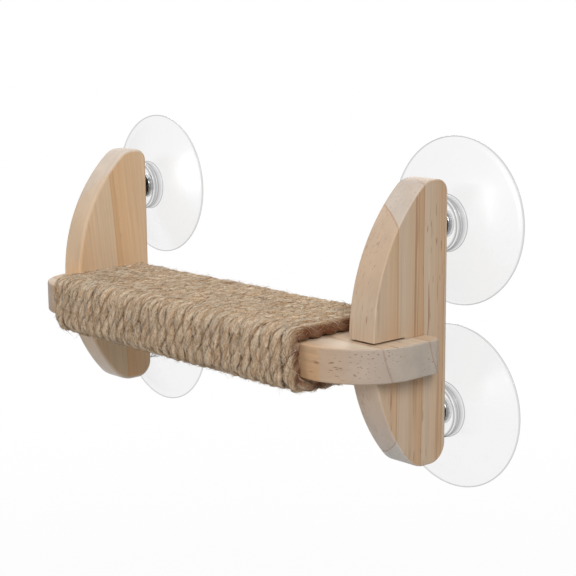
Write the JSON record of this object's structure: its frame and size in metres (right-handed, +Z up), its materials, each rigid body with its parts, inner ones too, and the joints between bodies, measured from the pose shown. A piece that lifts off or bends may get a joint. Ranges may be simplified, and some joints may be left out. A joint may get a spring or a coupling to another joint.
{
  "type": "bird window perch",
  "caption": "Rope-wound wooden perch between two D-shaped wooden side panels, held on a window pane by clear suction cups.",
  "frame": {"origin": "on the window plane, midway between the four suction cups", "axes": "+X along the perch, +Y towards the window, +Z up"},
  "size_m": [0.232, 0.0678, 0.127],
  "materials": {
    "board_pine": "sanded bare pine, eased edges",
    "panel_pine": "sanded bare pine, eased edges",
    "jute_rope": "natural twisted jute with loose fibres",
    "clear_cup": "clear soft plastic, glossy",
    "bright_screw": "bright plated steel",
    "staple_wire": "plain steel wire"
  },
  "bodies": {
    "side_panels": {"left_side_panel": "panel_pine", "right_side_panel": "panel_pine", "upper_left_screw": "bright_screw", "lower_left_screw": "bright_screw", "upper_right_screw": "bright_screw", "lower_right_screw": "bright_screw"},
    "perch": {"perch_board": "board_pine", "perch_rope": "jute_rope", "left_rope_staple": "staple_wire", "right_rope_staple": "staple_wire"},
    "upper_left_cup_body": {"upper_left_cup": "clear_cup"},
    "lower_left_cup_body": {"lower_left_cup": "clear_cup"},
    "upper_right_cup_body": {"upper_right_cup": "clear_cup"},
    "lower_right_cup_body": {"lower_right_cup": "clear_cup"}
  },
  "joints": [
    {"name": "perch_slide", "type": "slide", "parent": "side_panels", "child": "perch", "axis": [0, -1, 0], "range_m": [0, 0.015]},
    {"name": "upper_left_cup_turn", "type": "hinge", "parent": "side_panels", "child": "upper_left_cup_body", "pos_m": [-0.086, 0, 0.0335], "axis": [0, 1, 0], "continuous": true},
    {"name": "lower_left_cup_turn", "type": "hinge", "parent": "side_panels", "child": "lower_left_cup_body", "pos_m": [-0.086, 0, -0.0335], "axis": [0, 1, 0], "continuous": true},
    {"name": "upper_right_cup_turn", "type": "hinge", "parent": "side_panels", "child": "upper_right_cup_body", "pos_m": [0.086, 0, 0.0335], "axis": [0, 1, 0], "continuous": true},
    {"name": "lower_right_cup_turn", "type": "hinge", "parent": "side_panels", "child": "lower_right_cup_body", "pos_m": [0.086, 0, -0.0335], "axis": [0, 1, 0], "continuous": true}
  ]
}
